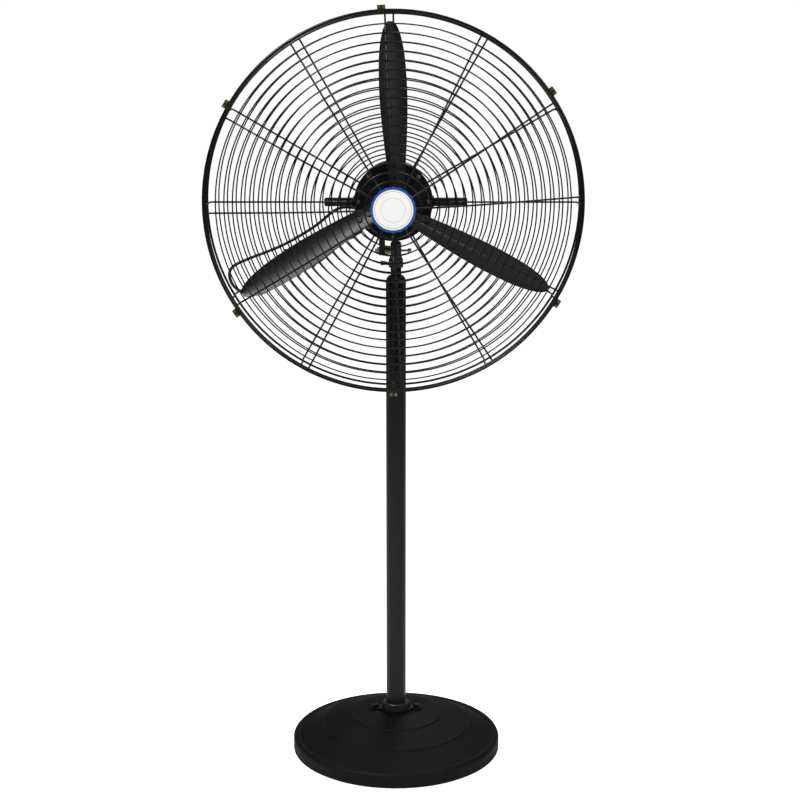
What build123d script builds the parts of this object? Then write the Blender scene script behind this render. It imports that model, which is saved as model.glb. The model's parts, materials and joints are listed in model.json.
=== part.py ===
from build123d import *
import math
import os

os.makedirs("parts", exist_ok=True)

# Industrial pedestal fan with a caged three-blade rotor on a telescopic stand.
# Millimetres, +Z up, origin on the floor on the axis of the pole. The fan blows towards -Y.

# Clearances
SEAT_GAP = 0.3
RUN_GAP = 0.05

# Base
BASE_R = 240.0
BASE_SIDE_TOP = 28.0
BASE_LIP_R = 228.0
BASE_LIP_Z = 36.0
BASE_STEP1_R = 171.0
BASE_STEP1_Z = 59.0
BASE_STEP2_R = 106.0
BASE_STEP2_Z = 80.0
BASE_STEP_RISE = 3.0
BASE_BOSS_R = 56.0
BASE_BOSS_Z = 91.0
BASE_SHELL = 11.0
BASE_RIM_WALL = 14.0
BASE_RIBS = 6
BASE_RIB_T = 9.0
MAT_T = 3.0
MAT_INSET = 5.0
HUB_R = 34.0
STUD_R = 8.0
NUT_ACROSS = 24.0
NUT_H = 13.0

# Foot of the pole
FLANGE_T = 6.0
FLANGE_RING_R = 33.0
FLANGE_RING_H = 12.0
FLANGE_EAR_X = 48.0
FLANGE_EAR_R = 12.0
FOOT_BOLT_R = 4.0
FOOT_BOLT_HEAD_R = 8.0
FOOT_BOLT_HEAD_H = 6.0
FOOT_WASHER_R = 29.0
FOOT_WASHER_T = 2.0

# Pole and inner tube
POLE_R = 22.5
POLE_WALL = 2.0
POLE_TOP = 1098.0
BUSH_SPIGOT = 42.0
BUSH_SHOULDER = 16.0
BUSH_TOP_R = 15.5
MAST_R = 12.0
MAST_WALL = 2.5
MAST_INSIDE = 414.0
MAST_TOP = 1148.0
HEIGHT_TRAVEL = 300.0
LOCK_R = 4.0
LOCK_Z = 1078.0
LOCK_KNOB_R = 15.0
LOCK_KNOB_T = 12.0
LOCK_STEM = 12.0

# Swivel socket
SOCKET_Z = 1132.0
COLLAR_R = 16.0
COLLAR_H = 20.0
NECK_R = 13.7
NECK_TOP = 1189.0
NECK_CHEEK = 12.0
NECK_CROWN = 9.0
SET_BOLT_R = 3.0
SET_BOLT_Z = 1141.0
SET_BOLT_REACH = 34.0
WING_H = 11.0
WING_T = 4.0

# Tilt joint
PIVOT_Z = 1169.0
TILT_BOLT_R = 4.0
TILT_ROD_R = 2.6
TILT_HEAD_X = 34.0
TILT_HEAD_T = 8.0
TILT_HEAD_R = 4.8
EAR_INNER_X = 24.0
EAR_T = 13.0
EAR_END_R = 11.0
TILT_NUT_R = 8.0
TILT_NUT_T = 5.0

# Head
HEAD_X = -5.0
HEAD_Z = 1285.0
MOTOR_R = 78.0
MOTOR_WALL = 7.0
MOTOR_BACK = -55.0
MOTOR_FRONT = 62.0
COVER_T = 5.0
FRONT_COVER_DEPTH = 20.0
REAR_COVER_DEPTH = 24.0
DISC_R = 84.6
DISC_T = 6.0
DISC_BORE = 27.0
DISC_GROOVES = 3
DISC_GROOVE_W = 4.0
DISC_GROOVE_DEEP = 1.5
DISC_SCREWS = 8
DISC_SCREW_R = 76.0
SCREW_R = 2.5
SCREW_HEAD_R = 5.0
SCREW_HEAD_H = 2.8
BAR_R = 9.5
BAR_REACH = 154.5
BAR_Z_DROP = 4.0
BAR_D = 50.0
BAR_FOOT_R = 14.0
BAR_FOOT_L = 9.0
BAR_CHAMFER = 2.5

# Motor insides
SHAFT_R = 7.5
SHAFT_TIP_R = 6.0
SHAFT_BACK = -72.0
BEARING_R = 17.5
BEARING_W = 11.0
STATOR_BORE = 40.0
STATOR_BACK = -25.0
STATOR_FRONT = 32.0
STATOR_SLOTS = 12
SLOT_W = 5.0
SLOT_DEEP = 15.0
COIL_REACH = 14.0
AIR_GAP = 0.6

# Rotor
HUB_BACK = 99.0
HUB_FRONT = 139.0
HUB_BOSS_R = 20.0
ARM_R = 92.0
ARM_W = 30.0
ARM_T = 5.0
ARM_D = 119.0
BLADES = 3
BLADE_D = 122.5
BLADE_TIP_R = 380.0
BLADE_ROOT_R = 44.0
BLADE_T = 2.6
BLADE_CAMBER = 0.07
BLADE_WIDTH = 62.5
BLADE_PITCH_ROOT = 24.0
BLADE_PITCH_TIP = 20.0
BLADE_LEAN_ROOT = 8.0
BLADE_LEAN_TIP = -5.5
BLADE_SCREW_R1 = 56.0
BLADE_SCREW_R2 = 80.0
BLADE_SCREW_SIZE = 3.0
HUB_NUT_R = 11.0
HUB_NUT_T = 7.0

# Cage
WIRE = 3.0
SPOKE_WIRE = 4.0
RIM_WIRE = 6.0
SPOKES = 12
SPOKE_TURN = 2.5
RING_PITCH = 18.5
FRONT_RING_FIRST = 58.5
REAR_RING_FIRST = 95.5
RING_LAST = 385.0
RIM_R = 400.0
SHOULDER_R = 394.0
SHOULDER_DEPTH = 10.0
SHOULDER_WIRE = 5.0
CORNER_R = 398.0
CORNER_WIRE = 5.0
JUNCTION_D = 150.0
REAR_PLATE_T = 1.5
REAR_PLATE_OUT = 83.0
REAR_PLATE_IN = 66.0
DOME_SLOPE = 0.35
DOME_CROWN_R = 250.0
BADGE_R = 46.0
BADGE_SCALLOPS = 20
BADGE_SCALLOP_R = 6.0
BADGE_T = 3.0
BADGE_FACE_R = 43.0
BADGE_PLATE_R = 45.0
BADGE_PLATE_T = 2.0

# Rim clips
CLIP_W = 17.0
CLIP_T = 1.5
CLIP_REACH = 411.0
CLIP_BOLT_R = 407.0
CLIP_BOLT_APART = 10.6
CLIP_BOLT_SIZE = 1.7
CLIP_ANGLES = (93.5, 35.5, 329.0, 270.0, 214.5, 149.0)

# Electrical box behind the motor
BOX_W = 74.0
BOX_H = 62.0
BOX_DEEP = 34.0
BOX_WALL = 3.0
LID_T = 3.0
KNOB_R = 15.0
KNOB_T = 16.0
SWITCH_R = 11.0
SWITCH_T = 12.0
SWITCH_STEM_R = 3.0
CAP_R = 11.0
CAP_L = 44.0

# Supply lead
CORD_R = 3.3
CORD_GAP = 0.4
HANK_AZ = 210.0
HANK_MID_R = 232.0
HANK_RUN = 90.0
HANK_OUTER = 27.1
HANK_PITCH = 7.1
HANK_SINK = 4.6
GLAND_D = 22.0
GLAND_Z_DROP = 18.0
GLAND_L = 22.0
PLUG_BODY = 28.0
PLUG_R = 10.0
PIN_L = 17.0
PIN_R = 2.4
PIN_APART = 12.0
TIE_W = 4.0
TIE_T = 1.2

# Placing: a plane across the fan axis (local x right, y up, z forward) and a half section through it
HEAD = Plane(origin=(HEAD_X, 0, HEAD_Z), x_dir=(1, 0, 0), z_dir=(0, -1, 0))
HALF = Plane(origin=(HEAD_X, 0, HEAD_Z), x_dir=(0, 0, 1), z_dir=(1, 0, 0))
FAN_AXIS = Axis((HEAD_X, 0, HEAD_Z), (0, -1, 0))

# --- Stand
MAT_R = BASE_R - MAT_INSET
with BuildPart() as base_mat:
    with BuildSketch():
        Circle(MAT_R)
    extrude(amount=MAT_T)
base_mat.part.label = "base_mat"
export_step(base_mat.part, "parts/base_mat.step")

HUB_SEAT = BASE_BOSS_Z - BASE_SHELL - NUT_H
with BuildPart() as base_casting:
    with BuildSketch(Plane.XZ):
        with BuildLine():
            Polyline(
                (0, MAT_T),
                (BASE_R, MAT_T),
                (BASE_R, BASE_SIDE_TOP),
            )
            ThreePointArc(
                (BASE_R, BASE_SIDE_TOP),
                (BASE_R - 0.35 * (BASE_R - BASE_LIP_R), BASE_LIP_Z - 1.5),
                (BASE_LIP_R, BASE_LIP_Z),
            )
            Polyline(
                (BASE_LIP_R, BASE_LIP_Z),
                (BASE_LIP_R - 4, BASE_LIP_Z - 1),
                (BASE_STEP1_R, BASE_STEP1_Z),
                (BASE_STEP1_R - 1.5, BASE_STEP1_Z + BASE_STEP_RISE),
                (BASE_STEP2_R, BASE_STEP2_Z),
                (BASE_STEP2_R - 1.5, BASE_STEP2_Z + BASE_STEP_RISE),
                (BASE_BOSS_R, BASE_BOSS_Z),
                (0, BASE_BOSS_Z),
                (0, MAT_T),
            )
        make_face()
    revolve(axis=Axis.Z)
    # the hollow underside leaves a rim, a hub and radial ribs
    with BuildSketch(Plane.XZ):
        with BuildLine():
            Polyline(
                (HUB_R, MAT_T),
                (BASE_R - BASE_RIM_WALL, MAT_T),
                (BASE_R - BASE_RIM_WALL, BASE_SIDE_TOP - BASE_SHELL),
                (BASE_STEP1_R, BASE_STEP1_Z - BASE_SHELL),
                (BASE_STEP2_R, BASE_STEP2_Z - BASE_SHELL),
                (HUB_R, BASE_BOSS_Z - BASE_SHELL - 3),
                (HUB_R, MAT_T),
            )
        make_face()
    revolve(axis=Axis.Z, mode=Mode.SUBTRACT)
    with BuildSketch(Plane.XY.offset(MAT_T)):
        with PolarLocations((HUB_R + BASE_R - BASE_RIM_WALL) / 2, BASE_RIBS):
            Rectangle(BASE_R - BASE_RIM_WALL - HUB_R + 4, BASE_RIB_T)
    extrude(amount=BASE_SIDE_TOP - BASE_SHELL)
    # the stud of the pole's foot passes the hub, and its nut sits in a pocket from below
    with BuildSketch(Plane.XY):
        Circle(STUD_R + SEAT_GAP)
    extrude(amount=BASE_BOSS_Z, mode=Mode.SUBTRACT)
    with BuildSketch(Plane.XY):
        RegularPolygon(NUT_ACROSS / 2 + 1, 6, major_radius=False)
    extrude(amount=HUB_SEAT, mode=Mode.SUBTRACT)
    with BuildSketch(Plane.XY.offset(BASE_BOSS_Z)):
        with Locations((FLANGE_EAR_X, 0), (-FLANGE_EAR_X, 0)):
            Circle(FOOT_BOLT_R + SEAT_GAP)
    extrude(amount=-BASE_SHELL + 1, mode=Mode.SUBTRACT)
base_casting.part.label = "base_casting"
export_step(base_casting.part, "parts/base_casting.step")

FLANGE_Z = BASE_BOSS_Z
RING_TOP = FLANGE_Z + FLANGE_T + FLANGE_RING_H
with BuildPart() as foot_flange:
    with BuildSketch(Plane.XY.offset(FLANGE_Z)):
        Circle(FLANGE_RING_R + 4)
        with Locations((FLANGE_EAR_X, 0), (-FLANGE_EAR_X, 0)):
            Circle(FLANGE_EAR_R)
        Rectangle(2 * FLANGE_EAR_X, 2 * FLANGE_EAR_R)
        with Locations((FLANGE_EAR_X, 0), (-FLANGE_EAR_X, 0)):
            Circle(FOOT_BOLT_R + SEAT_GAP, mode=Mode.SUBTRACT)
    extrude(amount=FLANGE_T)
    with BuildSketch(Plane.XY.offset(FLANGE_Z + FLANGE_T)):
        Circle(FLANGE_RING_R)
    extrude(amount=FLANGE_RING_H, taper=8)
    with BuildSketch(Plane.XY.offset(FLANGE_Z + FLANGE_T)):
        Circle(POLE_R + SEAT_GAP)
    extrude(amount=FLANGE_RING_H + 1, mode=Mode.SUBTRACT)
    with BuildSketch(Plane.XY.offset(FLANGE_Z)):
        Circle(STUD_R + SEAT_GAP)
    extrude(amount=FLANGE_T, mode=Mode.SUBTRACT)
foot_flange.part.label = "foot_flange"
export_step(foot_flange.part, "parts/foot_flange.step")

# the stud ends in a plug head inside the pole
with BuildPart() as foot_stud:
    with BuildSketch(Plane.XY.offset(HUB_SEAT - NUT_H - 4)):
        Circle(STUD_R)
    extrude(amount=FLANGE_Z + FLANGE_T - HUB_SEAT + NUT_H + 4)
    with BuildSketch(Plane.XY.offset(FLANGE_Z + FLANGE_T)):
        Circle(POLE_R - POLE_WALL - SEAT_GAP)
    extrude(amount=18)
foot_stud.part.label = "foot_stud"
export_step(foot_stud.part, "parts/foot_stud.step")

with BuildPart() as foot_nut:
    with BuildSketch(Plane.XY.offset(HUB_SEAT - NUT_H)):
        RegularPolygon(NUT_ACROSS / 2, 6, major_radius=False)
        Circle(STUD_R + RUN_GAP, mode=Mode.SUBTRACT)
    extrude(amount=NUT_H)
foot_nut.part.label = "foot_nut"
export_step(foot_nut.part, "parts/foot_nut.step")

with BuildPart() as foot_bolts:
    with BuildSketch(Plane.XY.offset(FLANGE_Z + FLANGE_T)):
        with Locations((FLANGE_EAR_X, 0), (-FLANGE_EAR_X, 0)):
            RegularPolygon(FOOT_BOLT_HEAD_R, 6)
    extrude(amount=FOOT_BOLT_HEAD_H)
    with BuildSketch(Plane.XY.offset(FLANGE_Z - BASE_SHELL + 3)):
        with Locations((FLANGE_EAR_X, 0), (-FLANGE_EAR_X, 0)):
            Circle(FOOT_BOLT_R)
    extrude(amount=FLANGE_T + BASE_SHELL - 3)
foot_bolts.part.label = "foot_bolts"
export_step(foot_bolts.part, "parts/foot_bolts.step")

with BuildPart() as foot_washer:
    with BuildSketch(Plane.XY.offset(RING_TOP)):
        Circle(FOOT_WASHER_R)
        Circle(POLE_R + SEAT_GAP, mode=Mode.SUBTRACT)
    extrude(amount=FOOT_WASHER_T)
    chamfer(foot_washer.edges().filter_by(GeomType.CIRCLE).group_by(Axis.Z)[-1].sort_by(SortBy.RADIUS)[-1], 0.8)
foot_washer.part.label = "foot_washer"
export_step(foot_washer.part, "parts/foot_washer.step")

POLE_FOOT = FLANGE_Z + FLANGE_T
with BuildPart() as pole_tube:
    with BuildSketch(Plane.XY.offset(POLE_FOOT)):
        Circle(POLE_R)
        Circle(POLE_R - POLE_WALL, mode=Mode.SUBTRACT)
    extrude(amount=POLE_TOP - POLE_FOOT)
    with BuildSketch(Plane.XZ.offset(-POLE_R - 2)):
        with Locations((0, LOCK_Z)):
            Circle(LOCK_R + SEAT_GAP)
    extrude(amount=POLE_R, mode=Mode.SUBTRACT)
pole_tube.part.label = "pole_tube"
export_step(pole_tube.part, "parts/pole_tube.step")

with BuildPart() as pole_bush:
    with BuildSketch(Plane.XZ):
        with BuildLine():
            Polyline(
                (MAST_R + RUN_GAP, POLE_TOP - BUSH_SPIGOT),
                (POLE_R - POLE_WALL - RUN_GAP, POLE_TOP - BUSH_SPIGOT),
                (POLE_R - POLE_WALL - RUN_GAP, POLE_TOP),
                (POLE_R, POLE_TOP),
                (POLE_R, POLE_TOP + 3),
            )
            ThreePointArc(
                (POLE_R, POLE_TOP + 3),
                (POLE_R - 2.2, POLE_TOP + 0.62 * BUSH_SHOULDER),
                (BUSH_TOP_R, POLE_TOP + BUSH_SHOULDER),
            )
            Polyline(
                (BUSH_TOP_R, POLE_TOP + BUSH_SHOULDER),
                (MAST_R + RUN_GAP, POLE_TOP + BUSH_SHOULDER),
                (MAST_R + RUN_GAP, POLE_TOP - BUSH_SPIGOT),
            )
        make_face()
    revolve(axis=Axis.Z)
    with BuildSketch(Plane.XZ.offset(-POLE_R - 2)):
        with Locations((0, LOCK_Z)):
            Circle(LOCK_R + SEAT_GAP)
    extrude(amount=POLE_R, mode=Mode.SUBTRACT)
pole_bush.part.label = "pole_bush"
export_step(pole_bush.part, "parts/pole_bush.step")

# --- Height lock: a knobbed bolt at the back of the pole's top
LOCK_TIP = MAST_R + SEAT_GAP
with BuildPart() as height_lock_bolt:
    with BuildSketch(Plane.XZ.offset(-LOCK_TIP)):
        with Locations((0, LOCK_Z)):
            Circle(LOCK_R)
    extrude(amount=-(POLE_R - LOCK_TIP + LOCK_STEM))
    with BuildSketch(Plane.XZ.offset(-POLE_R - LOCK_STEM)):
        with Locations((0, LOCK_Z)):
            Circle(LOCK_KNOB_R)
            with PolarLocations(LOCK_KNOB_R + 2, 6):
                Circle(5, mode=Mode.SUBTRACT)
    extrude(amount=-LOCK_KNOB_T)
height_lock_bolt.part.label = "height_lock_bolt"
export_step(height_lock_bolt.part, "parts/height_lock_bolt.step")

# --- Inner tube
MAST_FOOT = POLE_TOP + BUSH_SHOULDER - MAST_INSIDE
with BuildPart() as inner_tube:
    with BuildSketch(Plane.XY.offset(MAST_FOOT)):
        Circle(MAST_R)
        Circle(MAST_R - MAST_WALL, mode=Mode.SUBTRACT)
    extrude(amount=MAST_TOP - MAST_FOOT)
inner_tube.part.label = "inner_tube"
export_step(inner_tube.part, "parts/inner_tube.step")

# --- Swivel socket
with BuildPart() as swivel_socket:
    with BuildSketch(Plane.XZ):
        with BuildLine():
            Polyline(
                (0, MAST_TOP + SEAT_GAP),
                (MAST_R + RUN_GAP, MAST_TOP + SEAT_GAP),
                (MAST_R + RUN_GAP, SOCKET_Z),
                (COLLAR_R, SOCKET_Z),
                (COLLAR_R, SOCKET_Z + COLLAR_H - 1.5),
                (COLLAR_R - 1.5, SOCKET_Z + COLLAR_H),
                (NECK_R, SOCKET_Z + COLLAR_H),
                (NECK_R, NECK_TOP - 5),
                (NECK_CROWN, NECK_TOP),
                (0, NECK_TOP),
                (0, MAST_TOP + SEAT_GAP),
            )
        make_face()
    revolve(axis=Axis.Z)
    # flat cheeks where the tilt joint clamps, and its cross hole
    with BuildSketch(Plane.XY.offset(SOCKET_Z + COLLAR_H + 4)):
        with Locations((-NECK_CHEEK - NECK_R, 0), (NECK_CHEEK + NECK_R, 0)):
            Rectangle(2 * NECK_R, 3 * NECK_R)
    extrude(amount=NECK_TOP - SOCKET_Z, mode=Mode.SUBTRACT)
    with BuildSketch(Plane.YZ.offset(-NECK_R - 1)):
        with Locations((0, PIVOT_Z)):
            Circle(TILT_BOLT_R + RUN_GAP)
    extrude(amount=2 * NECK_R + 2, mode=Mode.SUBTRACT)
    with BuildSketch(Plane.YZ.offset(-COLLAR_R - 1)):
        with Locations((0, SET_BOLT_Z)):
            Circle(SET_BOLT_R + SEAT_GAP)
    extrude(amount=COLLAR_R, mode=Mode.SUBTRACT)
swivel_socket.part.label = "swivel_socket"
export_step(swivel_socket.part, "parts/swivel_socket.step")

with BuildPart() as socket_set_bolt:
    with BuildSketch(Plane.YZ.offset(-MAST_R - SEAT_GAP)):
        with Locations((0, SET_BOLT_Z)):
            Circle(SET_BOLT_R)
    extrude(amount=-(COLLAR_R - MAST_R + 6))
    with BuildSketch(Plane.XZ.offset(WING_T / 2)):
        with BuildLine():
            Polyline(
                (-COLLAR_R - 4, SET_BOLT_Z - 3.6),
                (-SET_BOLT_REACH, SET_BOLT_Z - WING_H / 2),
                (-SET_BOLT_REACH, SET_BOLT_Z + WING_H / 2),
                (-COLLAR_R - 4, SET_BOLT_Z + 3.6),
                close=True,
            )
        make_face()
    extrude(amount=-WING_T)
socket_set_bolt.part.label = "socket_set_bolt"
export_step(socket_set_bolt.part, "parts/socket_set_bolt.step")

# --- Tilt clamp: cross bolt, its nut and the friction washers
EAR_OUTER_X = EAR_INNER_X + EAR_T
with BuildPart() as tilt_bolt:
    with BuildSketch(Plane.YZ.offset(-EAR_OUTER_X - TILT_NUT_T - 4)):
        with Locations((0, PIVOT_Z)):
            Circle(TILT_BOLT_R)
    extrude(amount=EAR_OUTER_X + TILT_NUT_T + 4 + NECK_CHEEK)
    with BuildSketch(Plane.YZ.offset(NECK_CHEEK)):
        with Locations((0, PIVOT_Z)):
            Circle(TILT_ROD_R)
    extrude(amount=TILT_HEAD_X - NECK_CHEEK)
    with BuildSketch(Plane.YZ.offset(TILT_HEAD_X - TILT_HEAD_T)):
        with Locations((0, PIVOT_Z)):
            Circle(TILT_HEAD_R)
    extrude(amount=TILT_HEAD_T)
tilt_bolt.part.label = "tilt_bolt"
export_step(tilt_bolt.part, "parts/tilt_bolt.step")

with BuildPart() as tilt_nut:
    with BuildSketch(Plane.YZ.offset(-EAR_OUTER_X)):
        with Locations((0, PIVOT_Z)):
            RegularPolygon(TILT_NUT_R, 6)
            Circle(TILT_BOLT_R + RUN_GAP, mode=Mode.SUBTRACT)
    extrude(amount=-TILT_NUT_T)
tilt_nut.part.label = "tilt_nut"
export_step(tilt_nut.part, "parts/tilt_nut.step")

with BuildPart() as tilt_washers:
    with BuildSketch(Plane.YZ.offset(-EAR_INNER_X)):
        with Locations((0, PIVOT_Z)):
            Circle(TILT_NUT_R + 2)
            Circle(TILT_BOLT_R + RUN_GAP, mode=Mode.SUBTRACT)
    extrude(amount=(EAR_INNER_X - NECK_CHEEK - SEAT_GAP) / 2)
    with BuildSketch(Plane.YZ.offset(-NECK_CHEEK - SEAT_GAP)):
        with Locations((0, PIVOT_Z)):
            Circle(TILT_NUT_R)
            Circle(TILT_BOLT_R + RUN_GAP, mode=Mode.SUBTRACT)
    extrude(amount=-(EAR_INNER_X - NECK_CHEEK - SEAT_GAP) / 2)
tilt_washers.part.label = "tilt_washers"
export_step(tilt_washers.part, "parts/tilt_washers.step")

# --- Motor
LUG_TOP = HEAD_Z - MOTOR_R + 6
with BuildPart() as motor_housing:
    with BuildSketch(HEAD.offset(MOTOR_BACK)):
        Circle(MOTOR_R)
    extrude(amount=MOTOR_FRONT - MOTOR_BACK)
    # the tilt lug hangs from the left of the barrel
    with BuildSketch(Plane.YZ.offset(-EAR_OUTER_X)):
        with BuildLine():
            Line((-EAR_END_R, PIVOT_Z), (-2.4 * EAR_END_R, LUG_TOP + 16))
            Line((-2.4 * EAR_END_R, LUG_TOP + 16), (2.4 * EAR_END_R, LUG_TOP + 16))
            Line((2.4 * EAR_END_R, LUG_TOP + 16), (EAR_END_R, PIVOT_Z))
            ThreePointArc((EAR_END_R, PIVOT_Z), (0, PIVOT_Z - EAR_END_R), (-EAR_END_R, PIVOT_Z))
        make_face()
    extrude(amount=EAR_T)
    with BuildSketch(HEAD.offset(MOTOR_BACK)):
        Circle(MOTOR_R - MOTOR_WALL)
    extrude(amount=MOTOR_FRONT - MOTOR_BACK, mode=Mode.SUBTRACT)
    with BuildSketch(Plane.YZ.offset(-EAR_OUTER_X - 1)):
        with Locations((0, PIVOT_Z)):
            Circle(TILT_BOLT_R + RUN_GAP)
    extrude(amount=EAR_T + 2, mode=Mode.SUBTRACT)
motor_housing.part.label = "motor_housing"
export_step(motor_housing.part, "parts/motor_housing.step")

DISC_BACK = MOTOR_FRONT + FRONT_COVER_DEPTH
DISC_FRONT = DISC_BACK + DISC_T
with BuildPart() as motor_front_cover:
    with BuildSketch(HALF):
        with BuildLine():
            Polyline(
                (BEARING_R, DISC_BACK - 1 - BEARING_W),
                (BEARING_R, DISC_BACK),
                (MOTOR_R - 14, DISC_BACK),
                (MOTOR_R, MOTOR_FRONT + 6),
                (MOTOR_R, MOTOR_FRONT),
                (MOTOR_R - COVER_T, MOTOR_FRONT),
                (MOTOR_R - COVER_T, MOTOR_FRONT + 4),
                (MOTOR_R - 14 - COVER_T, DISC_BACK - COVER_T),
                (BEARING_R + COVER_T, DISC_BACK - COVER_T),
                (BEARING_R + COVER_T, DISC_BACK - 1 - BEARING_W),
                close=True,
            )
        make_face()
    revolve(axis=FAN_AXIS)
motor_front_cover.part.label = "motor_front_cover"
export_step(motor_front_cover.part, "parts/motor_front_cover.step")

COVER_END = MOTOR_BACK - REAR_COVER_DEPTH
with BuildPart() as motor_rear_cover:
    with BuildSketch(HALF):
        with BuildLine():
            Polyline(
                (0, COVER_END),
                (MOTOR_R - 22, COVER_END),
                (MOTOR_R - 6, COVER_END + 8),
                (MOTOR_R, MOTOR_BACK - 6),
                (MOTOR_R, MOTOR_BACK),
                (MOTOR_R - COVER_T, MOTOR_BACK),
                (MOTOR_R - COVER_T - 4, COVER_END + 12),
                (MOTOR_R - 24, COVER_END + COVER_T),
                (BEARING_R + COVER_T, COVER_END + COVER_T),
                (BEARING_R + COVER_T, SHAFT_BACK + BEARING_W),
                (BEARING_R, SHAFT_BACK + BEARING_W),
                (BEARING_R, COVER_END + COVER_T),
                (0, COVER_END + COVER_T),
                close=True,
            )
        make_face()
    revolve(axis=FAN_AXIS)
    with BuildSketch(HEAD.offset(COVER_END)):
        with PolarLocations(MOTOR_R - 34, 12):
            SlotOverall(14, 4)
        with Locations((0, 0)):
            Rectangle(BOX_W, BOX_H, mode=Mode.SUBTRACT)
    extrude(amount=COVER_T, mode=Mode.SUBTRACT)
motor_rear_cover.part.label = "motor_rear_cover"
export_step(motor_rear_cover.part, "parts/motor_rear_cover.step")

with BuildPart() as stator_core:
    with BuildSketch(HEAD.offset(STATOR_BACK)):
        Circle(MOTOR_R - MOTOR_WALL)
        Circle(STATOR_BORE, mode=Mode.SUBTRACT)
        with PolarLocations(STATOR_BORE + SLOT_DEEP / 2 - 1, STATOR_SLOTS):
            Rectangle(SLOT_DEEP, SLOT_W, mode=Mode.SUBTRACT)
    extrude(amount=STATOR_FRONT - STATOR_BACK)
stator_core.part.label = "stator_core"
export_step(stator_core.part, "parts/stator_core.step")

with BuildPart() as stator_windings:
    with BuildSketch(HALF):
        with Locations(
            (STATOR_BORE + SLOT_DEEP / 2 + 4, STATOR_FRONT + COIL_REACH / 2),
            (STATOR_BORE + SLOT_DEEP / 2 + 4, STATOR_BACK - COIL_REACH / 2),
        ):
            Rectangle(SLOT_DEEP, COIL_REACH)
    revolve(axis=FAN_AXIS)
stator_windings.part.label = "stator_windings"
export_step(stator_windings.part, "parts/stator_windings.step")

with BuildPart() as bearings:
    with BuildSketch(HEAD.offset(DISC_BACK - 1 - BEARING_W)):
        Circle(BEARING_R)
        Circle(SHAFT_R + RUN_GAP, mode=Mode.SUBTRACT)
    extrude(amount=BEARING_W)
    with BuildSketch(HEAD.offset(SHAFT_BACK)):
        Circle(BEARING_R)
        Circle(SHAFT_R + RUN_GAP, mode=Mode.SUBTRACT)
    extrude(amount=BEARING_W)
bearings.part.label = "bearings"
export_step(bearings.part, "parts/bearings.step")

with BuildPart() as guard_mount_disc:
    with BuildSketch(HEAD.offset(DISC_BACK)):
        Circle(DISC_R)
        Circle(DISC_BORE, mode=Mode.SUBTRACT)
    extrude(amount=DISC_T)
    with BuildSketch(HEAD.offset(DISC_FRONT - DISC_GROOVE_DEEP)):
        for k in range(DISC_GROOVES):
            Circle(DISC_BORE + (2 * k + 2) * DISC_GROOVE_W + k * DISC_GROOVE_W)
            Circle(DISC_BORE + (2 * k + 1) * DISC_GROOVE_W + k * DISC_GROOVE_W, mode=Mode.SUBTRACT)
    extrude(amount=DISC_GROOVE_DEEP, mode=Mode.SUBTRACT)
    with BuildSketch(HEAD.offset(DISC_BACK)):
        with PolarLocations(DISC_SCREW_R, DISC_SCREWS):
            Circle(SCREW_R + RUN_GAP)
    extrude(amount=DISC_T, mode=Mode.SUBTRACT)
guard_mount_disc.part.label = "guard_mount_disc"
export_step(guard_mount_disc.part, "parts/guard_mount_disc.step")

PLATE_FRONT = DISC_FRONT + REAR_PLATE_T
with BuildPart() as disc_screws:
    with BuildSketch(HEAD.offset(DISC_BACK)):
        with PolarLocations(DISC_SCREW_R, DISC_SCREWS):
            Circle(SCREW_R)
    extrude(amount=DISC_T + REAR_PLATE_T)
    with BuildSketch(HEAD.offset(PLATE_FRONT)):
        with PolarLocations(DISC_SCREW_R, DISC_SCREWS):
            Circle(SCREW_HEAD_R)
    extrude(amount=SCREW_HEAD_H, taper=25)
disc_screws.part.label = "disc_screws"
export_step(disc_screws.part, "parts/disc_screws.step")

BAR_Z = HEAD_Z - BAR_Z_DROP
for side, node in ((-1, "handle_bar_left"), (1, "handle_bar_right")):
    with BuildPart() as handle_bar:
        with BuildSketch(Plane.YZ.offset(HEAD_X)):
            with Locations((-BAR_D, BAR_Z)):
                Circle(BAR_R)
        extrude(amount=side * (BAR_REACH - side * HEAD_X))
        chamfer(handle_bar.edges().sort_by(Axis.X)[0 if side < 0 else -1], BAR_CHAMFER)
        with BuildSketch(Plane.YZ.offset(HEAD_X)):
            with Locations((-BAR_D, BAR_Z)):
                Circle(BAR_FOOT_R)
        extrude(amount=side * (MOTOR_R + BAR_FOOT_L))
        with BuildSketch(HEAD.offset(MOTOR_BACK - 1)):
            Circle(MOTOR_R)
        extrude(amount=DISC_FRONT - MOTOR_BACK, mode=Mode.SUBTRACT)
    handle_bar.part.label = node
    export_step(handle_bar.part, f"parts/{node}.step")

# --- Electrical box behind the motor: box, lid, rotary switch, capacitor and knob
BOX_BACK = COVER_END - BOX_DEEP
with BuildPart() as switch_box:
    with BuildSketch(HEAD.offset(BOX_BACK)):
        RectangleRounded(BOX_W, BOX_H, 6)
    extrude(amount=BOX_DEEP)
    with BuildSketch(HEAD.offset(BOX_BACK)):
        RectangleRounded(BOX_W - 2 * BOX_WALL, BOX_H - 2 * BOX_WALL, 4)
    extrude(amount=BOX_DEEP - BOX_WALL, mode=Mode.SUBTRACT)
switch_box.part.label = "switch_box"
export_step(switch_box.part, "parts/switch_box.step")

with BuildPart() as switch_box_lid:
    with BuildSketch(HEAD.offset(BOX_BACK)):
        RectangleRounded(BOX_W, BOX_H, 6)
        Circle(SWITCH_STEM_R + SEAT_GAP, mode=Mode.SUBTRACT)
    extrude(amount=-LID_T)
    chamfer(switch_box_lid.faces().sort_by(Axis.Y)[-1].outer_wire().edges(), 1.2)
switch_box_lid.part.label = "switch_box_lid"
export_step(switch_box_lid.part, "parts/switch_box_lid.step")

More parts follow.
